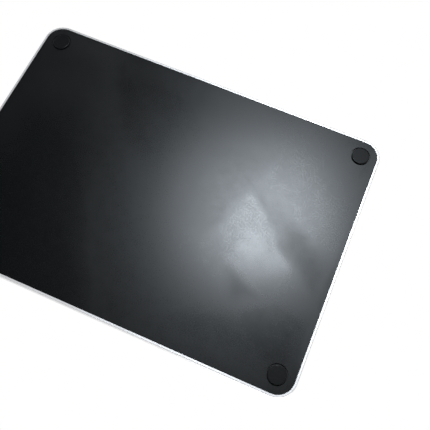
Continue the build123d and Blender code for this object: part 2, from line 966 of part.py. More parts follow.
os.makedirs("parts", exist_ok=True)

save("enclosure", enclosure())
save("bottom_cover", bottom_cover())
save("cover_adhesive", cover_adhesive())
for corner in corners:
    save(f"foot_{corner}", foot(corner))
    save(f"flexure_{corner}", flexure(corner))
save("foot_adhesive", foot_adhesives())

save("touch_glass", touch_glass())
save("glass_adhesive", pad_layer(pad_glue_inset, glass_thickness, sensor_top))
save("touch_sensor_board", pad_layer(sensor_inset, sensor_top, sensor_bottom))
save("sensor_adhesive", sensor_adhesive())
save("pad_carrier", pad_carrier())
save("touch_chips", touch_chips())
save("touch_connector", touch_connector())

save("flexure_screws", flexure_screws())
save("strain_gauges", strain_gauges())
save("isolator_pads", isolator_pads())

save("haptic_bracket", haptic_bracket())
save("haptic_core_left", haptic_core(-1))
save("haptic_core_right", haptic_core(1))
save("haptic_coils", haptic_coils())
save("haptic_screws", screws_at(drive_screw_places, drive_low, drive_screw_length))
save("armature", armature())
save("armature_rivets", group(rivets()))

save("battery_cell", battery_cell())
save("battery_adhesive", battery_adhesive())
save("battery_board", battery_board())
save("battery_lead", battery_lead())

save("main_board", main_board())
save("board_screws", screws_at(main_board_screw_places, main_board_top, board_screw_length))
save("board_chips", board_chips())
save("board_connector", board_connector())
save("shield_can", shield_can())
save("touch_flex", touch_flex())

save("charge_port_shell", charge_port_shell())
save("charge_port_tongue", charge_port_tongue())
save("charge_port_contacts", charge_port_contacts())
save("charge_port_board", charge_port_board())
save("charge_port_bracket", charge_port_bracket())
save("charge_port_screws", screws_at(port_screw_places, saddle_seat, saddle_screw_length))
save("port_flex", port_flex())

save("slider_knob", slider_knob())
save("slider_retainer", slider_retainer())
save("switch_nub", switch_nub())
save("switch_body", switch_body())
save("switch_board", switch_board())
save("switch_screws", screws_at(switch_screw_places, switch_board_top, board_screw_length))
save("switch_flex", switch_flex())
save("switch_indicator", switch_indicator())

save("antenna_carrier", antenna_carrier())
save("antenna_foil", antenna_foil())
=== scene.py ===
"""Finishes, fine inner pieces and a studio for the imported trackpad.

The frame stands on its feet, and the camera looks up at its underside.
"""

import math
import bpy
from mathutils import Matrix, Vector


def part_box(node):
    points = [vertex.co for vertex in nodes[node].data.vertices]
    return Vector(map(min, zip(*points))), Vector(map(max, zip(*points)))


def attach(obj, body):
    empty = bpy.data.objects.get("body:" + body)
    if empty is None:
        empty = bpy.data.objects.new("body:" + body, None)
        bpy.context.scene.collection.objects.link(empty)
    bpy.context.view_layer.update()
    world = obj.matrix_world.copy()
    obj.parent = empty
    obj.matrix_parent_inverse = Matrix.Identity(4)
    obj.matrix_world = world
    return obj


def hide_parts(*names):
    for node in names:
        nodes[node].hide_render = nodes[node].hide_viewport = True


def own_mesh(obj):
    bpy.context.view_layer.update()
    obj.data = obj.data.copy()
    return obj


bl_info = {
    "name": "Wedge Trackpad",
    "version": (1, 0, 0),
    "blender": (4, 5, 0),
    "location": "View3D > Sidebar > Trackpad",
    "description": "Finishes a slim trackpad, winds its coils, fits its boards and lights its underside",
    "category": "Object",
}

import bmesh
import bpy
from bpy.props import FloatProperty, FloatVectorProperty, IntProperty, PointerProperty
from bpy.types import Operator, Panel, PropertyGroup
from mathutils import Euler, Matrix, Vector

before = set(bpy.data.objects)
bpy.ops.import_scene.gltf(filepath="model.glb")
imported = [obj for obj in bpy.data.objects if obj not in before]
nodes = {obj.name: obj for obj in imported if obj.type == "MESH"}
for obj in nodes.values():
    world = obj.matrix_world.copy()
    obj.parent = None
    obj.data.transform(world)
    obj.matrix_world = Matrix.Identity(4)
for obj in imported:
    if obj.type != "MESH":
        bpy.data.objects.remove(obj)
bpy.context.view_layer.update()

MM = 0.001


def colour_property(name, description, default):
    return FloatVectorProperty(
        name=name, description=description, default=default, size=3, subtype="COLOR", min=0.0, max=1.0
    )


def share_property(name, description, default):
    return FloatProperty(
        name=name, description=description, default=default, min=0.0, max=1.0, subtype="FACTOR"
    )


def length_property(name, description, default):
    return FloatProperty(
        name=name,
        description=description,
        default=default,
        min=0.0,
        unit="LENGTH",
        subtype="DISTANCE",
        precision=5,
    )


def power_property(name, description, default):
    return FloatProperty(name=name, description=description, default=default, min=0.0, unit="POWER")


# Settings


class TRACKPAD_PG_outside(PropertyGroup):
    cover_colour: colour_property(
        "Cover colour", "Satin plastic of the plate underneath", (0.0034, 0.0040, 0.0043)
    )
    cover_roughness: share_property("Cover roughness", "How widely the plate spreads a reflection", 0.295)
    cover_grain: length_property("Cover grain", "Size of the moulded texture's grains", 0.0002)
    wipe_strength: share_property("Wipe marks", "How far wiping has changed the plate's gloss", 1.0)
    foot_colour: colour_property("Foot colour", "Rubber of the feet", (0.0094, 0.0102, 0.0106))
    body_colour: colour_property("Body colour", "Blasted and anodised aluminium", (0.70, 0.70, 0.71))
    body_roughness: share_property("Body roughness", "Roughness of the blasted metal", 0.34)
    glass_colour: colour_property("Glass colour", "Paint behind the touch surface", (0.0045, 0.0045, 0.005))
    glass_roughness: share_property("Glass roughness", "Roughness of the etched touch surface", 0.24)


class TRACKPAD_PG_inside(PropertyGroup):
    wire_diameter: length_property("Wire diameter", "Enamelled wire of the drive's coils", 0.0002)
    wire_layers: IntProperty(
        name="Wire layers", description="Layers of turns on each coil", default=2, min=1, max=3
    )
    wire_colour: colour_property("Wire colour", "Enamelled copper", (0.60, 0.21, 0.075))
    ribbon_travel: length_property("Ribbon travel", "How far the pad pushes its ribbon down", 0.00016)
    leg_pitch: length_property("Leg pitch", "Spacing of the solder legs round a chip", 0.0005)
    passive_pitch: length_property("Passive pitch", "Spacing of the small parts in a row", 0.0013)
    board_colour: colour_property("Board colour", "Solder mask", (0.008, 0.022, 0.045))


class TRACKPAD_PG_studio(PropertyGroup):
    lens: FloatProperty(name="Lens", description="Focal length on a 36 mm sensor", default=50.026, min=10.0)
    camera_place: FloatVectorProperty(
        name="Camera place",
        description="Where the camera stands, under the trackpad",
        default=(-0.05607, -0.08136, -0.22763),
        size=3,
        subtype="TRANSLATION",
        unit="LENGTH",
        precision=5,
    )
    camera_turn: FloatVectorProperty(
        name="Camera turn",
        description="The camera's rotation about X, Y and Z",
        default=(math.radians(-159.2176), math.radians(1.0238), math.radians(156.7312)),
        size=3,
        subtype="EULER",
        unit="ROTATION",
    )
    floor_colour: colour_property("Floor colour", "Matt floor, seen from above only", (0.86, 0.86, 0.86))
    ambient: FloatProperty(name="Ambient", description="Soft light from all round", default=0.36, min=0.0)
    glow_power: power_property("Underside lamp", "Lamp whose reflection lies on the plate", 1.85)
    rim_power: power_property("Rim lamp", "Lamp from below that lights the body alone", 3.2)
    key_power: power_property("Key lamp", "Large lamp above", 7.5)


# Materials


class Finish:
    """A material in the making: its shader, and the nodes that feed it."""

    def __init__(self, name, colour, roughness, metallic=0.0, specular=0.5):
        self.material = bpy.data.materials.new(name)
        self.material.use_nodes = True
        self.material.diffuse_color = (*colour, 1.0)
        self.tree = self.material.node_tree
        self.shader = self.tree.nodes["Principled BSDF"]
        self.colour = tuple(colour)
        self.roughness = roughness
        self.shader.inputs["Base Color"].default_value = (*colour, 1.0)
        self.shader.inputs["Roughness"].default_value = roughness
        self.shader.inputs["Metallic"].default_value = metallic
        self.shader.inputs["Specular IOR Level"].default_value = specular

    def feed(self, socket, value):
        """Sets an input, or links it if the value comes from another node."""
        if isinstance(value, bpy.types.NodeSocket):
            self.tree.links.new(value, socket)
        elif isinstance(value, (tuple, list)) and len(value) == 3 and socket.type == "RGBA":
            socket.default_value = (*value, 1.0)
        else:
            socket.default_value = value

    def add(self, kind, settings=(), **inputs):
        node = self.tree.nodes.new(kind)
        for key, value in dict(settings).items():
            setattr(node, key, value)
        for key, value in inputs.items():
            self.feed(node.inputs[key.replace("_", " ")], value)
        return node

    def place(self, stretch=(1, 1, 1), turn=(0, 0, 0), move=(0, 0, 0)):
        """Object coordinates, moved, turned and stretched."""
        where = self.add("ShaderNodeTexCoord")
        mapping = self.add("ShaderNodeMapping", {"vector_type": "TEXTURE"}, Vector=where.outputs["Object"])
        mapping.inputs["Location"].default_value = move
        mapping.inputs["Rotation"].default_value = turn
        mapping.inputs["Scale"].default_value = stretch
        return mapping.outputs["Vector"]

    def noise(self, size, detail=2.0, distortion=0.0, **where):
        """Soft noise from 0 to 1 whose features are about one size in metres."""
        vector = self.place(**where)
        node = self.add(
            "ShaderNodeTexNoise", Vector=vector, Scale=1.0 / size, Detail=detail, Distortion=distortion
        )
        return node.outputs["Fac"]

    def cells(self, size, **where):
        """Distance to the nearest of scattered points, in shares of a cell."""
        node = self.add("ShaderNodeTexVoronoi", Vector=self.place(**where), Scale=1.0 / size)
        return node.outputs["Distance"]

    def bands(self, pitch, direction="X", distortion=0.0, **where):
        """Even bands across one direction, from 0 to 1."""
        settings = {"wave_type": "BANDS", "bands_direction": direction}
        # At a scale of 1, the wave texture has 20 / (2 * pi) bands in a metre.
        scale = 0.05 / pitch * 2 * math.pi
        node = self.add(
            "ShaderNodeTexWave", settings, Vector=self.place(**where), Scale=scale, Distortion=distortion
        )
        return node.outputs["Fac"]

    def ramp(self, value, low, high, to_low=0.0, to_high=1.0, smooth=True):
        """A value's stretch from low to high, made to run from one number to another."""
        settings = {"interpolation_type": "SMOOTHSTEP" if smooth else "LINEAR"}
        node = self.add("ShaderNodeMapRange", settings, Value=value)
        for key, number in (("From Min", low), ("From Max", high), ("To Min", to_low), ("To Max", to_high)):
            self.feed(node.inputs[key], number)
        return node.outputs["Result"]

    def swing(self, value, amount):
        """A noise's middle stretch, made to run from less than zero by an amount to more by as much."""
        return self.ramp(value, 0.3, 0.7, -amount, amount, smooth=False)

    def calculate(self, operation, first, second):
        """One number out of two, by the operation that is named."""
        node = self.add("ShaderNodeMath", {"operation": operation})
        self.feed(node.inputs[0], first)
        self.feed(node.inputs[1], second)
        return node.outputs[0]

    def blend(self, share, first, second):
        """From the first colour to the second."""
        node = self.add("ShaderNodeMix", {"data_type": "RGBA"})
        self.feed(node.inputs[0], share)
        self.feed(node.inputs[6], first)
        self.feed(node.inputs[7], second)
        return node.outputs[2]

    def tint(self, share, amount):
        """The finish's own colour, made lighter or darker by an amount where the share is full."""
        changed = tuple(min(1.0, c * amount) for c in self.colour)
        return self.blend(share, self.colour, changed)

    def paint(self, colour):
        self.feed(self.shader.inputs["Base Color"], colour)

    def spread(self, roughness):
        self.feed(self.shader.inputs["Roughness"], roughness)

    def bump(self, height, depth, strength=1.0):
        """Adds a relief of a depth in metres on top of what is there."""
        node = self.add("ShaderNodeBump", Height=height, Distance=depth, Strength=strength)
        socket = self.shader.inputs["Normal"]
        if socket.is_linked:
            self.tree.links.new(socket.links[0].from_socket, node.inputs["Normal"])
        self.tree.links.new(node.outputs["Normal"], socket)


def give(finish, *names):
    """Puts a finish on whole CAD nodes."""
    for name in names:
        slots = nodes[name].data.materials
        slots.clear()
        slots.append(finish.material)


# Where cloths have wiped the plate. Each patch lies inside its edges, and adds an amount to the roughness.
# An edge is a point on it in millimetres, the direction in degrees in which it runs with the patch on its
# left, seen from above, and the width in millimetres over which it fades.
wiped_patches = (
    ("bright wedge", -0.012, (((-27, 24), 223, 5), ((-32, 6), 94, 9), ((-38, -10), 28, 8))),
    (
        "wedge's heart",
        -0.042,
        (((-50, -5), 223, 8), ((-41, -5), 115, 11), ((-48, -20), 17, 6), ((-66, -12), 280, 10)),
    ),
    (
        "wedge's tail",
        -0.034,
        (((-53, -1), 223, 4), ((-51, -7), 43, 7), ((-50, -6), 115, 12), ((-68, -14), 300, 12)),
    ),
    ("dull band", 0.028, (((-28, 23), 43, 4), ((-60, 9), 200, 8), ((-30, 24), 135, 14))),
    (
        "dull band's end",
        0.034,
        (((-56, 1), 43, 5), ((-66, 3), 225, 8), ((-56, 4), 130, 12), ((-76, -5), 280, 5)),
    ),
    ("clean streak", -0.022, (((-61, 20), 65, 8), ((-65, 27), 165, 10), ((-72, -1), 25, 8))),
    (
        "tail's end",
        -0.04,
        (((-60, -7), 223, 4), ((-55, -21), 17, 8), ((-54, -14), 107, 12), ((-60, -14), 287, 8)),
    ),
    ("tail's streak", 0.035, (((-62, -9), 223, 4), ((-60, -23), 17, 6), ((-60, -16), 107, 8))),
    ("dull crescent", 0.08, (((-50, -22), 188, 6), ((-52, -28), 323, 10), ((-41, -22), 70, 8))),
    (
        "clean field",
        -0.042,
        (((-54, -26), 143, 10), ((-62, -47), 0, 14), ((-68, -23), 185, 8), ((-74, -30), 275, 6)),
    ),
    (
        "dull field",
        0.03,
        (((-8, 10), 90, 8), ((-31, 8), 284, 8), ((-20, 33), 180, 10), ((-20, -9), 10, 10)),
    ),
    ("dusty corner", 0.04, (((28, 16), 246, 8), ((79, -2), 329, 40))),
    ("dusty rear", 0.04, (((-79, 47), 0, 14), ((-24, 50), 270, 24))),
    ("dusty middle", 0.022, (((-1, 40), 95, 8), ((-30, 40), 260, 16), ((-10, 36), 0, 8))),
    ("wiped side", -0.016, (((37, 45), 66, 8), ((4, 20), 262, 8), ((20, 14), 0, 12))),
    ("clean side", -0.036, (((20, -32), 242, 14), ((79, 12), 160, 24), ((66, -20), 82, 20))),
    ("dull end", 0.03, (((-66, -6), 90, 10), ((-64, -9), 43, 6), ((-70, 0), 180, 10))),
    ("dusty edge", 0.06, (((-76.9, 0), 90, 3), ((-79, -44), 0, 8))),
    ("side streak", 0.014, (((28, -14), 57, 4), ((23, -14), 237, 6), ((26, -8), 150, 8))),
)


def wiped_share(finish, where, edges):
    """1 inside every one of a patch's edges and 0 outside."""
    share = 1.0
    for (x, y), direction, width in edges:
        turned = finish.add("ShaderNodeMapping", {"vector_type": "TEXTURE"}, Vector=where)
        turned.inputs["Location"].default_value = (x * MM, y * MM, 0)
        turned.inputs["Rotation"].default_value = (0, 0, math.radians(direction))
        across = finish.add("ShaderNodeSeparateXYZ", Vector=turned.outputs["Vector"]).outputs["Y"]
        inside = finish.ramp(across, -width * MM / 2, width * MM / 2)
        share = finish.calculate("MULTIPLY", share, inside)
    return share


def swayed_place(finish, size, reach):
    """Object coordinates that soft noise shifts sideways, so that no patch has a straight edge."""
    noise = finish.add("ShaderNodeTexNoise", Vector=finish.place(), Scale=1 / size, Detail=1.0)
    sway = finish.add("ShaderNodeVectorMath", {"operation": "SUBTRACT"}, Vector=noise.outputs["Color"])
    sway.inputs[1].default_value = (0.5, 0.5, 0.5)
    swayed = finish.add(
        "ShaderNodeVectorMath", {"operation": "MULTIPLY_ADD"}, Vector=sway.outputs["Vector"]
    )
    swayed.inputs[1].default_value = (reach, reach, 0.0)
    finish.feed(swayed.inputs[2], finish.place())
    return swayed.outputs["Vector"]


def cover_finish(settings):
    """Fine moulded satin plastic that cloths have wiped unevenly."""
    finish = Finish("cover_satin_plastic", settings.cover_colour, settings.cover_roughness)
    grain = finish.noise(size=settings.cover_grain, detail=1.0)
    speckle = finish.noise(size=settings.cover_grain * 2.5, detail=2.0)
    diagonal = (0, 0, math.radians(45))
    streaks = finish.noise(size=0.011, detail=3.0, distortion=0.4, stretch=(5, 1, 1), turn=diagonal)
    change = finish.swing(streaks, 0.009)
    where = swayed_place(finish, size=0.02, reach=0.006)
    for _, amount, edges in wiped_patches:
        share = wiped_share(finish, where, edges)
        share = finish.calculate("MULTIPLY", share, amount * settings.wipe_strength)
        change = finish.calculate("ADD", change, share)
    mottle = finish.noise(size=0.0035, detail=3.0)
    change = finish.calculate("ADD", change, finish.swing(mottle, -0.008))
    change = finish.calculate("ADD", change, finish.swing(speckle, -0.026))
    finish.spread(finish.calculate("ADD", change, settings.cover_roughness))
    finish.paint(finish.tint(finish.ramp(speckle, 0.4, 0.7), 1.6))
    finish.bump(grain, depth=0.000003, strength=0.2)
    return finish


def foot_finish(settings):
    """Matt rubber with a fine pebble and a little dust."""
    finish = Finish("foot_rubber", settings.foot_colour, roughness=0.31, specular=0.15)
    pebble = finish.cells(size=0.00035)
    dust = finish.noise(size=0.0006, detail=3.0)
    finish.paint(finish.tint(finish.ramp(dust, 0.62, 0.75), 2.2))
    finish.bump(pebble, depth=0.000008, strength=0.4)
    finish.spread(finish.ramp(dust, 0.3, 0.7, 0.28, 0.36))
    return finish


def blasted_finish(name, colour, roughness):
    """Bead-blasted, anodised aluminium."""
    finish = Finish(name, colour, roughness, metallic=1.0)
    blast = finish.noise(size=0.00012, detail=1.0)
    cloud = finish.noise(size=0.018, detail=2.0)
    finish.bump(blast, depth=0.000006, strength=0.55)
    finish.spread(finish.ramp(cloud, 0.3, 0.7, roughness - 0.03, roughness + 0.03))
    finish.paint(finish.tint(finish.ramp(blast, 0.35, 0.75), 0.94))
    return finish


def glass_finish(settings):
    """Etched glass over black paint, with faint finger marks."""
    finish = Finish("touch_glass_black", settings.glass_colour, settings.glass_roughness)
    etch = finish.noise(size=0.00009, detail=1.0)
    marks = finish.noise(size=0.014, detail=4.0, distortion=0.8)
    finish.bump(etch, depth=0.000003, strength=0.4)
    finish.spread(
        finish.ramp(marks, 0.35, 0.75, settings.glass_roughness - 0.01, settings.glass_roughness + 0.015)
    )
    finish.paint(finish.tint(finish.ramp(marks, 0.5, 0.8), 1.15))
    return finish


def sheet_finish(name, colour, roughness, direction=(12, 1, 1)):
    """Rolled steel with fine lines along its rolling direction."""
    finish = Finish(name, colour, roughness, metallic=1.0)
    lines = finish.noise(size=0.00015, detail=2.0, stretch=direction)
    stain = finish.noise(size=0.004, detail=2.0)
    finish.bump(lines, depth=0.000008, strength=0.4)
    finish.spread(finish.ramp(lines, 0.25, 0.75, roughness - 0.05, roughness + 0.08))
    finish.paint(finish.tint(finish.ramp(stain, 0.45, 0.75), 0.8))
    return finish


def laminated_finish(name, colour):
    """Stacked core plates, one dark line for each."""
    finish = Finish(name, colour, roughness=0.45, metallic=1.0)
    plates = finish.bands(pitch=0.00035, direction="Z")
    rust = finish.noise(size=0.0012, detail=3.0)
    plate = finish.ramp(plates, 0.0, 0.35)
    finish.paint(finish.blend(plate, finish.tint(rust, 0.2), finish.tint(rust, 1.2)))
    finish.bump(plates, depth=0.00003, strength=0.5)
    return finish


def moulded_finish(name, colour, roughness=0.5, grain=0.0002):
    """Plain moulded plastic with a fine texture and small changes of tone."""
    finish = Finish(name, colour, roughness)
    texture = finish.noise(size=grain, detail=2.0)
    tone = finish.noise(size=grain * 25, detail=2.0)
    finish.bump(texture, depth=0.00001, strength=0.5)
    finish.spread(finish.ramp(tone, 0.3, 0.7, roughness - 0.05, roughness + 0.07))
    finish.paint(finish.tint(finish.ramp(tone, 0.35, 0.7), 1.25))
    return finish


def board_finish(settings):
    """Solder mask over tracks that run in two directions, with bare pads."""
    finish = Finish("board_mask", settings.board_colour, roughness=0.38)
    patch = finish.add(
        "ShaderNodeTexVoronoi",
        {"distance": "MANHATTAN", "feature": "F1"},
        Vector=finish.place(),
        Scale=1.0 / 0.004,
    )
    along = finish.bands(pitch=0.0005, direction="X")
    across = finish.bands(pitch=0.0005, direction="Y")
    choice = finish.ramp(finish.noise(size=0.006, detail=0.0), 0.495, 0.505, smooth=False)
    node = finish.add("ShaderNodeMix", {"data_type": "FLOAT"})
    for index, value in ((0, choice), (2, along), (3, across)):
        finish.feed(node.inputs[index], value)
    tracks = finish.ramp(node.outputs[0], 0.55, 0.75)
    pads = finish.ramp(patch.outputs["Distance"], 0.07, 0.05)
    bright = finish.tint(tracks, 2.6)
    finish.paint(finish.blend(pads, bright, (0.75, 0.55, 0.22)))
    finish.bump(tracks, depth=0.00003, strength=0.6)
    finish.spread(finish.ramp(pads, 0.0, 1.0, 0.38, 0.25))
    return finish


def ribbon_finish(name, direction):
    """Polyimide film over copper tracks that run along it."""
    finish = Finish(name, (0.42, 0.14, 0.02), roughness=0.32)
    tracks = finish.ramp(finish.bands(pitch=0.00045, direction=direction), 0.45, 0.6)
    cloud = finish.noise(size=0.002, detail=2.0)
    finish.paint(finish.blend(tracks, finish.tint(cloud, 0.7), (0.70, 0.33, 0.10)))
    finish.bump(tracks, depth=0.00002, strength=0.6)
    finish.spread(finish.ramp(cloud, 0.3, 0.7, 0.27, 0.4))
    return finish


def wound_finish(settings):
    """Enamelled wire whose tone changes from turn to turn."""
    finish = Finish("coil_enamel", settings.wire_colour, roughness=0.25, metallic=0.85)
    tone = finish.noise(size=0.0003, detail=2.0, stretch=(1, 15, 15))
    finish.paint(finish.tint(finish.ramp(tone, 0.3, 0.7), 1.2))
    finish.spread(finish.ramp(tone, 0.3, 0.7, 0.24, 0.36))
    return finish


def gold_finish(name, colour=(0.85, 0.60, 0.24)):
    """Gold or copper plating, a little worn."""
    finish = Finish(name, colour, roughness=0.22, metallic=1.0)
    wear = finish.noise(size=0.0004, detail=3.0)
    finish.paint(finish.tint(finish.ramp(wear, 0.45, 0.7), 0.82))
    finish.spread(finish.ramp(wear, 0.3, 0.7, 0.16, 0.32))
    return finish


def film_finish(name, colour, roughness):
    """Soft film or gel, a little uneven."""
    finish = Finish(name, colour, roughness)
    wave = finish.noise(size=0.003, detail=3.0)
    finish.bump(wave, depth=0.00006, strength=0.5)
    finish.paint(finish.tint(finish.ramp(wave, 0.35, 0.7), 1.3))
    finish.spread(finish.ramp(wave, 0.3, 0.7, roughness - 0.06, roughness + 0.1))
    return finish


# Geometry node trees


class Tree:
    """A geometry node group in the making, with named inputs."""

    def __init__(self, name, inputs):
        self.group = bpy.data.node_groups.new(name, "GeometryNodeTree")
        self.group.is_modifier = True
        kinds = {"GEOMETRY": "NodeSocketGeometry", "FLOAT": "NodeSocketFloat", "INT": "NodeSocketInt",
                 "VECTOR": "NodeSocketVector", "MATERIAL": "NodeSocketMaterial"}
        for label, kind in inputs:
            self.group.interface.new_socket(label, in_out="INPUT", socket_type=kinds[kind])
        self.group.interface.new_socket("Geometry", in_out="OUTPUT", socket_type=kinds["GEOMETRY"])
        self.source = self.group.nodes.new("NodeGroupInput").outputs

    def add(self, kind, settings=(), **inputs):
        node = self.group.nodes.new(kind)
        for key, value in dict(settings).items():
            setattr(node, key, value)
        for key, value in inputs.items():
            self.feed(node.inputs[key.replace("_", " ")], value)
        return node

    def feed(self, socket, value):
        if isinstance(value, bpy.types.NodeSocket):
            self.group.links.new(value, socket)
        else:
            socket.default_value = value

    def close(self, geometry):
        """Real geometry with its material, as the tree's result."""
        real = self.add("GeometryNodeRealizeInstances", Geometry=geometry).outputs["Geometry"]
        made = self.add("GeometryNodeSetMaterial", Geometry=real, Material=self.source["Material"])
        output = self.group.nodes.new("NodeGroupOutput")
        self.group.links.new(made.outputs["Geometry"], output.inputs["Geometry"])
        return self.group


def block_tree():
    """A small block on every point of the mesh that the tree is given."""
    tree = Tree(
        "blocks_on_points", [("Geometry", "GEOMETRY"), ("Block Size", "VECTOR"), ("Material", "MATERIAL")]
    )
    block = tree.add("GeometryNodeMeshCube", Size=tree.source["Block Size"])
    copies = tree.add(
        "GeometryNodeInstanceOnPoints", Points=tree.source["Geometry"], Instance=block.outputs["Mesh"]
    )
    return tree.close(copies.outputs["Instances"])


def winding_tree():
    """Turns of wire side by side along X, each a rounded rectangle about the leg."""
    tree = Tree(
        "coil_winding",
        [
            ("Geometry", "GEOMETRY"),
            ("Depth", "FLOAT"),
            ("Height", "FLOAT"),
            ("Corner", "FLOAT"),
            ("Wire Radius", "FLOAT"),
            ("Turns", "INT"),
            ("Material", "MATERIAL"),
        ],
    )
    loop = tree.add(
        "GeometryNodeCurvePrimitiveQuadrilateral", Width=tree.source["Depth"], Height=tree.source["Height"]
    )
    rounded = tree.add(
        "GeometryNodeFilletCurve", Curve=loop.outputs["Curve"], Radius=tree.source["Corner"]
    )
    # The fillet's mode is a socket in some versions and a setting in others.
    if "Mode" in rounded.inputs:
        rounded.inputs["Mode"].default_value = "Poly"
    else:
        rounded.mode = "POLY"
    rounded.inputs["Count"].default_value = 3
    profile = tree.add("GeometryNodeCurvePrimitiveCircle", Resolution=6, Radius=tree.source["Wire Radius"])
    wire = tree.add(
        "GeometryNodeCurveToMesh", Curve=rounded.outputs["Curve"], Profile_Curve=profile.outputs["Curve"]
    )
    upright = tree.add("GeometryNodeTransform", Geometry=wire.outputs["Mesh"])
    upright.inputs["Rotation"].default_value = (math.pi / 2, 0.0, math.pi / 2)
    pitch = tree.add("ShaderNodeMath", {"operation": "MULTIPLY"})
    tree.feed(pitch.inputs[0], tree.source["Wire Radius"])
    tree.feed(pitch.inputs[1], 2.0)
    step = tree.add("ShaderNodeCombineXYZ", X=pitch.outputs[0])
    line = tree.add("GeometryNodeMeshLine", Count=tree.source["Turns"], Offset=step.outputs["Vector"])
    copies = tree.add(
        "GeometryNodeInstanceOnPoints", Points=line.outputs["Mesh"], Instance=upright.outputs["Geometry"]
    )
    return tree.close(copies.outputs["Instances"])


def grown(name, group, points, **values):
    """Runs a tree on a mesh of loose points and keeps the plain mesh that it makes."""
    seed = bpy.data.meshes.new(name)
    seed.from_pydata(points, [], [])
    piece = bpy.data.objects.new(name, seed)
    bpy.context.scene.collection.objects.link(piece)
    modifier = piece.modifiers.new(name, "NODES")
    modifier.node_group = group
    inputs = [item for item in group.interface.items_tree if item.in_out == "INPUT"]
    identifiers = {item.name: item.identifier for item in inputs}
    for label, value in values.items():
        modifier[identifiers[label.replace("_", " ")]] = value
    evaluated = piece.evaluated_get(bpy.context.evaluated_depsgraph_get())
    made = bpy.data.meshes.new_from_object(evaluated)
    piece.modifiers.clear()
    piece.data = made
    bpy.data.meshes.remove(seed)
    return piece


def moved(piece, matrix):
    """Puts a piece's place into its mesh."""
    piece.data.transform(matrix)
    return piece


def joined(name, pieces):
    """One object out of several, their meshes put together."""
    if not pieces:
        raise RuntimeError(f"{name} has nothing in it")
    with bpy.context.temp_override(
        active_object=pieces[0], selected_objects=pieces, selected_editable_objects=pieces
    ):
        bpy.ops.object.join()
    pieces[0].name = name
    return pieces[0]


def solids_of(name):
    """The box of each separate solid in a CAD node, as pairs of corners."""
    mesh = nodes[name].data
    places = {}
    for vertex in mesh.vertices:
        places.setdefault(tuple(round(c, 6) for c in vertex.co), len(places))
    keys = [places[tuple(round(c, 6) for c in vertex.co)] for vertex in mesh.vertices]
    parent = list(range(len(places)))

    def root(index):
        while parent[index] != index:
            parent[index] = parent[parent[index]]
            index = parent[index]
        return index

    for face in mesh.polygons:
        first = root(keys[face.vertices[0]])
        for corner in face.vertices:
            parent[root(keys[corner])] = first
    boxes = {}
    for place, index in places.items():
        low, high = boxes.setdefault(root(index), (Vector(place), Vector(place)))
        boxes[root(index)] = (Vector(map(min, low, place)), Vector(map(max, high, place)))
    return list(boxes.values())


# Operators


class TRACKPAD_OT_outside(Operator):
    """Finish the cover plate, the feet, the body, the glass, the socket and the power slider"""

    bl_idname = "trackpad.outside"
    bl_label = "Finish the outside"

    def execute(self, context):
        settings = context.scene.trackpad_outside
        give(cover_finish(settings), "bottom_cover")
        feet = [name for name in nodes if name.startswith("foot_") and name != "foot_adhesive"]
        give(foot_finish(settings), *feet)
        body = blasted_finish("body_blasted_aluminium", settings.body_colour, settings.body_roughness)
        give(body, "enclosure")
        give(glass_finish(settings), "touch_glass")
        give(blasted_finish("knob_blasted_aluminium", settings.body_colour, 0.3), "slider_knob")
        give(moulded_finish("indicator_green_paint", (0.02, 0.36, 0.05), 0.4), "switch_indicator")
        give(sheet_finish("port_drawn_steel", (0.36, 0.36, 0.37), 0.32, (1, 12, 1)), "charge_port_shell")
        give(moulded_finish("port_black_plastic", (0.012, 0.012, 0.013), 0.42), "charge_port_tongue")
        give(gold_finish("contact_gold"), "charge_port_contacts")
        return {"FINISHED"}


class TRACKPAD_OT_inside(Operator):
    """Finish the boards, battery, flexures, drive, switch and antenna inside"""

    bl_idname = "trackpad.inside"
    bl_label = "Finish the inside"

    def execute(self, context):
        settings = context.scene.trackpad_inside
        boards = [name for name in nodes if name.endswith("_board")]
        give(board_finish(settings), *boards)
        screws = [name for name in nodes if name.endswith("_screws") or name == "armature_rivets"]
        give(sheet_finish("screw_plated_steel", (0.52, 0.52, 0.53), 0.28, (1, 1, 1)), *screws)
        springs = [name for name in nodes if name.startswith("flexure_") and name != "flexure_screws"]
        give(sheet_finish("flexure_spring_steel", (0.44, 0.44, 0.45), 0.3), *springs)
        sheets = ("haptic_bracket", "shield_can", "pad_carrier", "charge_port_bracket")
        give(sheet_finish("pressed_steel", (0.58, 0.58, 0.57), 0.3), *sheets)
        cores = ("haptic_core_left", "haptic_core_right", "armature")
        give(laminated_finish("core_plates", (0.22, 0.22, 0.23)), *cores)
        chips = ("board_chips", "touch_chips", "switch_body")
        give(moulded_finish("chip_epoxy", (0.014, 0.014, 0.015), 0.48), *chips)
        connectors = ("board_connector", "touch_connector")
        give(moulded_finish("connector_nylon", (0.62, 0.56, 0.42), 0.4), *connectors)
        sliders = ("slider_retainer", "switch_nub")
        give(moulded_finish("slider_black_plastic", (0.016, 0.016, 0.018), 0.5), *sliders)
        give(moulded_finish("antenna_plastic", (0.03, 0.03, 0.034), 0.5), "antenna_carrier")
        give(gold_finish("antenna_copper", (0.78, 0.46, 0.26)), "antenna_foil")
        give(film_finish("battery_pouch_film", (0.05, 0.05, 0.055), 0.34), "battery_cell")
        give(film_finish("isolator_gel", (0.46, 0.47, 0.50), 0.45), "isolator_pads")
        glues = [name for name in nodes if name.endswith("_adhesive")]
        give(film_finish("adhesive_film", (0.03, 0.03, 0.03), 0.55), *glues)
        ribbons = ("battery_lead", "port_flex", "switch_flex", "strain_gauges")
        give(ribbon_finish("ribbon_across", "Y"), *ribbons)
        return {"FINISHED"}


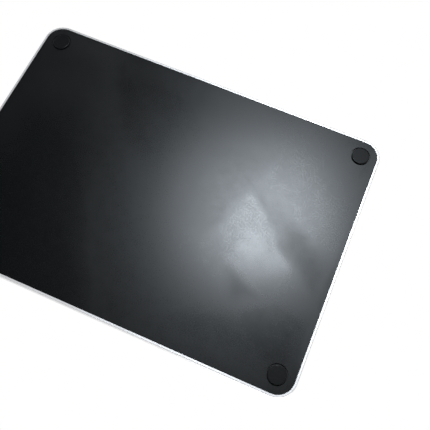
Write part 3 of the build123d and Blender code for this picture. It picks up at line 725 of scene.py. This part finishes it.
class TRACKPAD_OT_coils(Operator):
    """Wind the two drive coils with enamelled wire, in the place of their plain solids"""

    bl_idname = "trackpad.coils"
    bl_label = "Wind the coils"

    def execute(self, context):
        settings = context.scene.trackpad_inside
        group = winding_tree()
        finish = wound_finish(settings)
        diameter = settings.wire_diameter
        loops = []
        for low, high in solids_of("haptic_coils"):
            size = high - low
            middle = (low + high) / 2
            turns = int(size.x / diameter)
            start = middle.x - (turns - 1) * diameter / 2
            for layer in range(settings.wire_layers):
                inset = diameter * (1 + 2 * layer)
                piece = grown(
                    f"winding_{len(loops)}",
                    group,
                    [(0, 0, 0)],
                    Depth=size.y - inset,
                    Height=size.z - inset,
                    Corner=max(diameter, size.z / 5 - inset / 2),
                    Wire_Radius=diameter / 2,
                    Turns=turns,
                    Material=finish.material,
                )
                loops.append(moved(piece, Matrix.Translation((start, middle.y, middle.z))))
        piece = joined("coil_windings", loops)
        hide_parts("haptic_coils")
        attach(piece, "base")
        return {"FINISHED"}


class TRACKPAD_OT_ribbon(Operator):
    """Put a welded copy of the pad's ribbon, in its own finish, in the place of the ribbon's solid"""

    bl_idname = "trackpad.ribbon"
    bl_label = "Let the pad's ribbon give"

    def execute(self, context):
        weld = 0.01 * MM
        mesh = nodes["touch_flex"].data.copy()
        shape = bmesh.new()
        shape.from_mesh(mesh)
        bmesh.ops.remove_doubles(shape, verts=shape.verts, dist=weld)
        shape.to_mesh(mesh)
        shape.free()
        mesh.materials.clear()
        mesh.materials.append(ribbon_finish("ribbon_along", "X").material)
        piece = bpy.data.objects.new("pad_ribbon", mesh)
        context.scene.collection.objects.link(piece)
        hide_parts("touch_flex")
        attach(piece, "base")
        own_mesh(piece)
        return {"FINISHED"}


class TRACKPAD_OT_boards(Operator):
    """Solder legs round the chips, and rows of small parts beside them"""

    bl_idname = "trackpad.boards"
    bl_label = "Fit the board's small parts"

    def execute(self, context):
        settings = context.scene.trackpad_inside
        group = block_tree()
        board_low, board_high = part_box("main_board")
        chips = solids_of("board_chips")
        keep_out = list(chips)
        fittings = ("shield_can", "board_screws", "board_connector")
        ribbons = ("battery_lead", "port_flex", "touch_flex")
        for name in fittings + ribbons:
            keep_out += solids_of(name)
        solder = Finish("solder_tin", (0.66, 0.67, 0.69), roughness=0.25, metallic=1.0)
        solder.spread(solder.ramp(solder.noise(size=0.0003), 0.3, 0.7, 0.2, 0.36))
        ceramic = moulded_finish("passive_ceramic", (0.30, 0.19, 0.10), 0.5, 0.0001)

        leg = Vector((0.00024, 0.00024, 0.00012))
        body = Vector((0.00052, 0.0005, 0.00042))
        cap = Vector((0.00022, 0.00054, 0.00046))
        row_gap = 0.0011
        margin = 0.0003

        def free(x, y, half_x, half_y):
            inside = (
                board_low.x + margin + half_x < x < board_high.x - margin - half_x
                and board_low.y + margin + half_y < y < board_high.y - margin - half_y
            )
            clear = all(
                x + half_x + margin < low.x
                or x - half_x - margin > high.x
                or y + half_y + margin < low.y
                or y - half_y - margin > high.y
                for low, high in keep_out
            )
            return inside and clear

        legs = []
        bodies = []
        z = board_high.z
        for low, high in chips:
            middle = (low + high) / 2
            across = int((high.x - low.x - settings.leg_pitch) / settings.leg_pitch)
            along = int((high.y - low.y - settings.leg_pitch) / settings.leg_pitch)
            for step in range(across):
                x = middle.x + (step - (across - 1) / 2) * settings.leg_pitch
                legs += [(x, low.y - leg.y / 2, z + leg.z / 2), (x, high.y + leg.y / 2, z + leg.z / 2)]
            for step in range(along):
                y = middle.y + (step - (along - 1) / 2) * settings.leg_pitch
                legs += [(low.x - leg.x / 2, y, z + leg.z / 2), (high.x + leg.x / 2, y, z + leg.z / 2)]
            for y in (low.y - row_gap, high.y + row_gap):
                count = int((high.x - low.x) / settings.passive_pitch)
                for step in range(count):
                    x = middle.x + (step - (count - 1) / 2) * settings.passive_pitch
                    if free(x, y, body.x / 2 + cap.x, cap.y / 2):
                        bodies.append((x, y, z + body.z / 2))
        caps = [
            (x + sign * (body.x + cap.x) / 2, y, z + cap.z / 2)
            for x, y, _ in bodies
            for sign in (-1, 1)
        ]
        for name, points, size, finish, slot in (
            ("chip_legs", legs, leg, solder, "screw_steel"),
            ("passive_bodies", bodies, body, ceramic, "chip_plastic"),
            ("passive_caps", caps, cap, solder, "screw_steel"),
        ):
            piece = grown(name, group, points, Block_Size=size, Material=finish.material)
            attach(piece, "base")
        return {"FINISHED"}


# The studio's places and sizes are in metres, and a lamp's direction is that of its second side.
under_place = (-0.011, 0.223, -0.560)
under_size = (0.125, 0.143)
under_direction = (0.891, -0.416, -0.182)
under_colour = (0.85, 0.93, 1.0)
key_place = (-0.45, -0.55, 0.75)
fill_place = (0.7, 0.35, 0.6)
fill_share = 0.35
over_size = (0.9, 0.9)
rim_place = (0, 0, -0.72)
rim_size = (1.2, 1.2)
rearward = (0, 1, 0)
flag_middle = (0.16, 0.22)
flag_half = 1.1
flag_height = -0.75
floor_middle = (0, 0)
floor_half = 3.0
floor_height = 0.0
floor_white_from = 0.2
floor_white_to = 1.0
body_corner = 0.008
edge_strip = 0.001
contact_reach = 0.00065


class TRACKPAD_OT_studio(Operator):
    """Set the camera under the trackpad, and the lamps, the floor and the white surroundings"""

    bl_idname = "trackpad.studio"
    bl_label = "Set the studio"

    def execute(self, context):
        settings = context.scene.trackpad_studio
        self.set_camera(context, settings)
        self.set_surroundings(context, settings)
        self.set_floor(context, settings)
        self.set_flag(context)
        self.set_lamps(context, settings)
        context.scene.view_settings.view_transform = "Standard"
        return {"FINISHED"}

    def set_lamps(self, context, settings):
        """A cold lamp that the plate mirrors, two large ones above, and one below for the body alone."""
        glow, key, rim = settings.glow_power, settings.key_power, settings.rim_power
        under = self.set_lamp(context, "lamp_under", under_place, under_size, under_direction, glow)
        under.data.color = under_colour
        self.set_lamp(context, "lamp_over_key", key_place, over_size, rearward, key)
        self.set_lamp(context, "lamp_over_fill", fill_place, over_size, rearward, key * fill_share)
        below = self.set_lamp(context, "lamp_under_rim", rim_place, rim_size, rearward, rim)
        lit = bpy.data.collections.new("lit_rim")
        lit.objects.link(nodes["enclosure"])
        below.light_linking.receiver_collection = lit

    def set_camera(self, context, settings):
        data = bpy.data.cameras.new("camera_under")
        data.sensor_width = 36.0
        data.lens = settings.lens
        data.clip_start = 0.005
        camera = bpy.data.objects.new("camera_under", data)
        camera.location = settings.camera_place
        camera.rotation_euler = Euler(settings.camera_turn, "XYZ")
        context.scene.collection.objects.link(camera)
        context.scene.camera = camera

    def set_surroundings(self, context, settings):
        """White to the camera and in reflections, and a softer light on matt surfaces."""
        world = bpy.data.worlds.new("white_surroundings")
        world.use_nodes = True
        tree = world.node_tree
        background = tree.nodes["Background"]
        background.inputs["Color"].default_value = (1.0, 1.0, 1.0, 1.0)
        path = tree.nodes.new("ShaderNodeLightPath")
        total = path.outputs["Is Camera Ray"]
        for name in ("Is Glossy Ray", "Is Transmission Ray"):
            either = tree.nodes.new("ShaderNodeMath")
            either.operation = "MAXIMUM"
            tree.links.new(total, either.inputs[0])
            tree.links.new(path.outputs[name], either.inputs[1])
            total = either.outputs[0]
        strength = tree.nodes.new("ShaderNodeMapRange")
        tree.links.new(total, strength.inputs["Value"])
        strength.inputs["To Min"].default_value = settings.ambient
        strength.inputs["To Max"].default_value = 1.0
        tree.links.new(strength.outputs["Result"], background.inputs["Strength"])
        context.scene.world = world

    def set_floor(self, context, settings):
        """A matt floor, clear from below and under the trackpad, so that the underside is lit and seen."""
        finish = Finish("floor_matt", settings.floor_colour, roughness=0.9, specular=0.1)
        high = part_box("enclosure")[1]
        half = finish.add("ShaderNodeVectorMath", {"operation": "ABSOLUTE"}, Vector=finish.place())
        past = finish.add("ShaderNodeVectorMath", {"operation": "SUBTRACT"}, Vector=half.outputs["Vector"])
        past.inputs[1].default_value = (high[0] - body_corner, high[1] - body_corner, 0)
        past = finish.add("ShaderNodeVectorMath", {"operation": "MAXIMUM"}, Vector=past.outputs["Vector"])
        past.inputs[1].default_value = (0, 0, 0)
        reach = finish.add("ShaderNodeVectorMath", {"operation": "LENGTH"}, Vector=past.outputs["Vector"])
        under = finish.calculate("LESS_THAN", reach.outputs["Value"], body_corner - edge_strip)
        path = finish.add("ShaderNodeLightPath").outputs
        touching = finish.calculate("LESS_THAN", path["Ray Length"], contact_reach)
        under = finish.calculate("MAXIMUM", under, touching)
        far = finish.add("ShaderNodeVectorMath", {"operation": "LENGTH"}, Vector=finish.place())
        white = finish.ramp(far.outputs["Value"], floor_white_from, floor_white_to)
        white = finish.calculate("MULTIPLY", white, path["Is Camera Ray"])
        glow = finish.add("ShaderNodeEmission", Color=(1.0, 1.0, 1.0), Strength=1.0)
        fading = finish.add("ShaderNodeMixShader")
        finish.feed(fading.inputs[0], white)
        finish.feed(fading.inputs[1], finish.shader.outputs["BSDF"])
        finish.feed(fading.inputs[2], glow.outputs["Emission"])
        side = finish.add("ShaderNodeNewGeometry")
        clear = finish.add("ShaderNodeBsdfTransparent")
        either = finish.add("ShaderNodeMixShader")
        finish.feed(either.inputs[0], finish.calculate("MAXIMUM", side.outputs["Backfacing"], under))
        finish.feed(either.inputs[1], fading.outputs["Shader"])
        finish.feed(either.inputs[2], clear.outputs["BSDF"])
        output = finish.tree.nodes["Material Output"]
        finish.feed(output.inputs["Surface"], either.outputs["Shader"])
        self.sheet(context, "floor", floor_middle, floor_half, floor_height, finish.material)

    def set_flag(self, context):
        """A black cloth far below, which is seen in reflections alone."""
        finish = Finish("flag_black", (0.001, 0.001, 0.001), roughness=1.0, specular=0.0)
        flag = self.sheet(context, "flag", flag_middle, flag_half, flag_height, finish.material)
        for use in ("camera", "diffuse", "transmission", "shadow"):
            setattr(flag, f"visible_{use}", False)

    def sheet(self, context, name, middle, half, z, material):
        """A level square whose side is twice a half."""
        mesh = bpy.data.meshes.new(name)
        turns = ((-1, -1), (1, -1), (1, 1), (-1, 1))
        corners = [(middle[0] + a * half, middle[1] + b * half, z) for a, b in turns]
        mesh.from_pydata(corners, [], [(0, 1, 2, 3)])
        mesh.materials.append(material)
        made = bpy.data.objects.new(name, mesh)
        context.scene.collection.objects.link(made)
        return made

    def set_lamp(self, context, name, place, size, direction, power):
        """A flat lamp that faces the trackpad, its second side in a direction."""
        data = bpy.data.lights.new(name, "AREA")
        data.shape = "RECTANGLE"
        data.size, data.size_y = size
        data.energy = power
        lamp = bpy.data.objects.new(name, data)
        back = Vector(place).normalized()
        across = Vector(direction).cross(back).normalized()
        turn = Matrix((across, back.cross(across), back)).transposed()
        lamp.matrix_world = Matrix.Translation(place) @ turn.to_4x4()
        lamp.visible_camera = False
        context.scene.collection.objects.link(lamp)
        return lamp


inside_steps = (TRACKPAD_OT_inside, TRACKPAD_OT_coils, TRACKPAD_OT_ribbon, TRACKPAD_OT_boards)


class TRACKPAD_PT_panel(Panel):
    """The trackpad's settings and steps"""

    bl_label = "Trackpad"
    bl_idname = "TRACKPAD_PT_panel"
    bl_space_type = "VIEW_3D"
    bl_region_type = "UI"
    bl_category = "Trackpad"

    def draw(self, context):
        for label, steps, settings in (
            ("Outside", (TRACKPAD_OT_outside,), context.scene.trackpad_outside),
            ("Inside", inside_steps, context.scene.trackpad_inside),
            ("Studio", (TRACKPAD_OT_studio,), context.scene.trackpad_studio),
        ):
            box = self.layout.box()
            box.label(text=label)
            for name in settings.__annotations__:
                box.prop(settings, name)
            for step in steps:
                box.operator(step.bl_idname)


classes = (
    TRACKPAD_PG_outside,
    TRACKPAD_PG_inside,
    TRACKPAD_PG_studio,
    TRACKPAD_OT_outside,
    TRACKPAD_OT_inside,
    TRACKPAD_OT_coils,
    TRACKPAD_OT_ribbon,
    TRACKPAD_OT_boards,
    TRACKPAD_OT_studio,
    TRACKPAD_PT_panel,
)


def register():
    for item in classes:
        bpy.utils.register_class(item)
    bpy.types.Scene.trackpad_outside = PointerProperty(type=TRACKPAD_PG_outside)
    bpy.types.Scene.trackpad_inside = PointerProperty(type=TRACKPAD_PG_inside)
    bpy.types.Scene.trackpad_studio = PointerProperty(type=TRACKPAD_PG_studio)


def unregister():
    del bpy.types.Scene.trackpad_outside
    del bpy.types.Scene.trackpad_inside
    del bpy.types.Scene.trackpad_studio
    for item in reversed(classes):
        bpy.utils.unregister_class(item)


def main():
    register()
    bpy.ops.trackpad.outside()
    bpy.ops.trackpad.inside()
    bpy.ops.trackpad.coils()
    bpy.ops.trackpad.ribbon()
    bpy.ops.trackpad.boards()
    bpy.ops.trackpad.studio()


if __name__ == "__main__":
    main()
